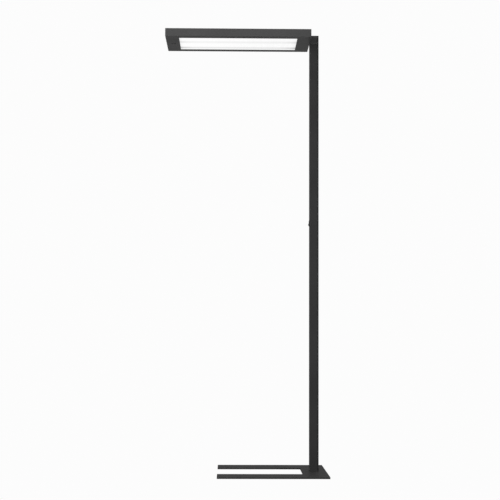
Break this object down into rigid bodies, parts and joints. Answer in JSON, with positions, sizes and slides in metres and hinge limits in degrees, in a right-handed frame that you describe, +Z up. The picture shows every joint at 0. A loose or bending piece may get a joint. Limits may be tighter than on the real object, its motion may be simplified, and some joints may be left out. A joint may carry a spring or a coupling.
{
  "type": "office floor lamp",
  "caption": "Office floor lamp: flat rectangular light head set square on a straight post that stands on a U-shaped plate, with a rocker switch and a ceiling-facing panel.",
  "frame": {"origin": "on the floor, on the post's axis, at the middle of the pad under the post", "axes": "+Z up along the post; -X from the post towards the prong tips and the head's free end; +Y towards the side of the cable bush"},
  "size_m": [0.7175, 0.5, 1.952],
  "materials": {
    "coated_steel": "satin anthracite powder coat on steel",
    "coated_aluminium": "satin anthracite powder coat on aluminium",
    "coated_sheet": "satin anthracite powder coat on sheet",
    "rubber": "matt black rubber",
    "zinc_steel": "zinc-plated steel",
    "black_screw": "blackened steel",
    "bare_aluminium": "mill-finish aluminium",
    "brass": "plain brass",
    "lead_sheath": "black flexible sheath",
    "black_plastic": "fine-grained black plastic",
    "rocker_plastic": "smooth black plastic",
    "prism_panel": "clear-white prismatic acrylic, lit",
    "opal_panel": "opal acrylic",
    "white_reflector": "matt white",
    "light_board": "white circuit board",
    "driver_case": "white polycarbonate case",
    "sensor_ring": "black plastic ring",
    "sensor_lens": "smoked domed lens"
  },
  "bodies": {
    "lamp": {"base_plate": "coated_steel", "rubber_pads": "rubber", "centre_pad": "rubber", "base_screws": "zinc_steel", "foot_block": "bare_aluminium", "foot_block_screws": "black_screw", "cable_bush": "rubber", "post_tube": "coated_aluminium", "channel_strip": "coated_aluminium", "post_cap": "coated_aluminium", "corner_block": "coated_aluminium", "spigot_screws": "black_screw", "joint_screws": "zinc_steel", "switch_housing": "black_plastic", "rocker_pin": "zinc_steel", "switch_blades": "brass", "head_lead": "lead_sheath", "head_housing": "coated_sheet", "head_bracket": "zinc_steel", "head_lid": "coated_sheet", "lid_pillars": "zinc_steel", "lid_screws": "black_screw", "lower_panel": "prism_panel", "lower_reflector": "white_reflector", "board_carrier": "bare_aluminium", "lower_light_boards": "light_board", "upper_light_boards": "light_board", "upper_reflector": "white_reflector", "upper_panel": "opal_panel", "light_driver": "driver_case", "driver_studs": "zinc_steel", "driver_nuts": "zinc_steel", "sensor_bezel": "sensor_ring", "sensor_lens": "sensor_lens", "sensor_board": "light_board", "sensor_can": "black_plastic"},
    "rocker": {"rocker": "rocker_plastic"}
  },
  "joints": [
    {"name": "rocker_tilt", "type": "hinge", "parent": "lamp", "child": "rocker", "pos_m": [-0.019, 0, 1.105], "axis": [0, -1, 0], "range_deg": [0, 22]}
  ]
}
